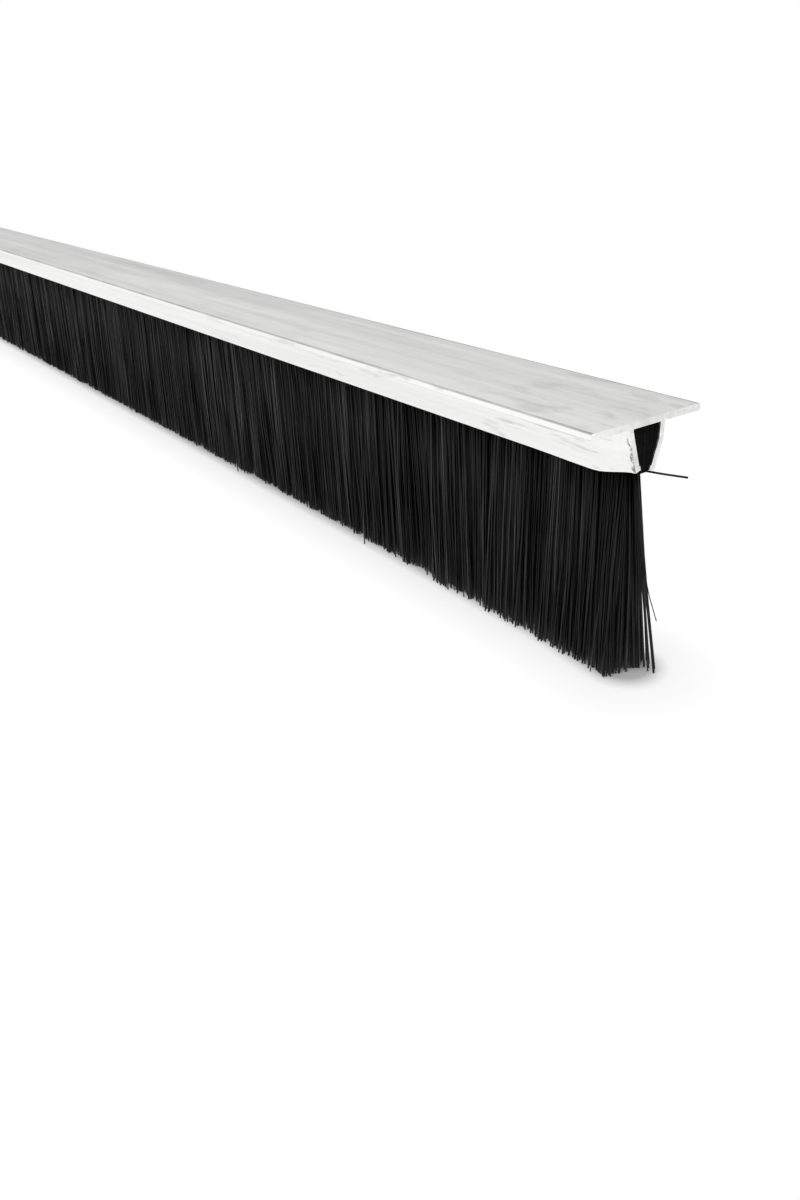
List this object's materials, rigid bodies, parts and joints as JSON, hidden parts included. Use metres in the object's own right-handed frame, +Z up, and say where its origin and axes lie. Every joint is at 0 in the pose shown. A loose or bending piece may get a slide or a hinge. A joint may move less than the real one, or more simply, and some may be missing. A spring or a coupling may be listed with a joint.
{
  "type": "door bottom brush",
  "caption": "Straight aluminium carrier strip with a flat top plate and a channel below that holds a black bristle curtain, to seal the gap under a door.",
  "frame": {"origin": "centre of the carrier's flat top face", "axes": "+X along the strip, +Y across it towards the rear flange, +Z up out of the top face, bristles hanging towards -Z"},
  "size_m": [0.9194, 0.025, 0.045],
  "materials": {
    "mill_aluminium": "extruded mill finish with faint lengthwise streaks",
    "black_plastic": "matt",
    "black_bristle": "satin filaments"
  },
  "bodies": {
    "root": {"carrier": "mill_aluminium", "brush_back": "black_plastic", "bristle_curtain": "black_bristle"}
  },
  "joints": []
}
